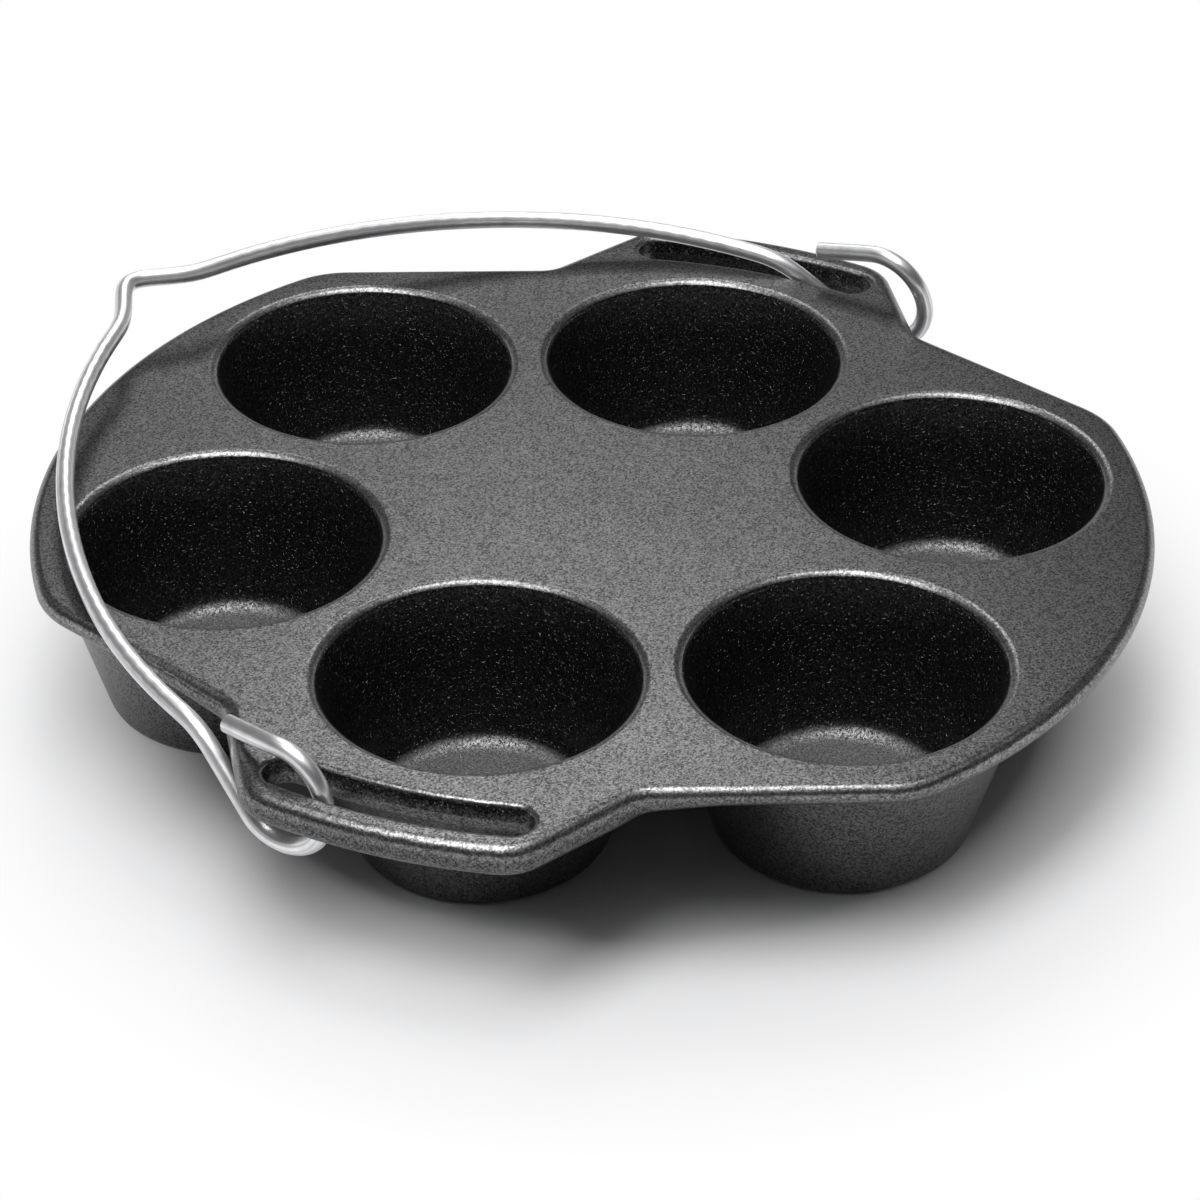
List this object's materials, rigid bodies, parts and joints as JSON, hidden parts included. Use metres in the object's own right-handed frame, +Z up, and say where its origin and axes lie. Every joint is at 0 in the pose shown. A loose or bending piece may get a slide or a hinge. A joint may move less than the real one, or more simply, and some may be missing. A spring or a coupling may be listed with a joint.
{
  "type": "muffin pan",
  "caption": "Cast iron muffin pan with deep tapered cups hung from one flat deck, a slotted lug at each end and a loose wire bail handle hooked through the slots.",
  "frame": {"origin": "centre of the flat top of the deck", "axes": "+Z up out of the cups, +Y towards the far lug, -X towards the side that the bail is laid down on"},
  "size_m": [0.2816, 0.2834, 0.063],
  "materials": {
    "seasoned_iron": "black seasoned sand casting, fine even grain",
    "steel_wire": "bright drawn stainless wire"
  },
  "bodies": {
    "pan": {"pan_casting": "seasoned_iron"},
    "bail": {"wire_bail": "steel_wire"}
  },
  "joints": [
    {"name": "bail_swing", "type": "hinge", "parent": "pan", "child": "bail", "pos_m": [0, 0, -0.003], "axis": [0.2741, 0.9617, 0], "range_deg": [0, 160]}
  ]
}
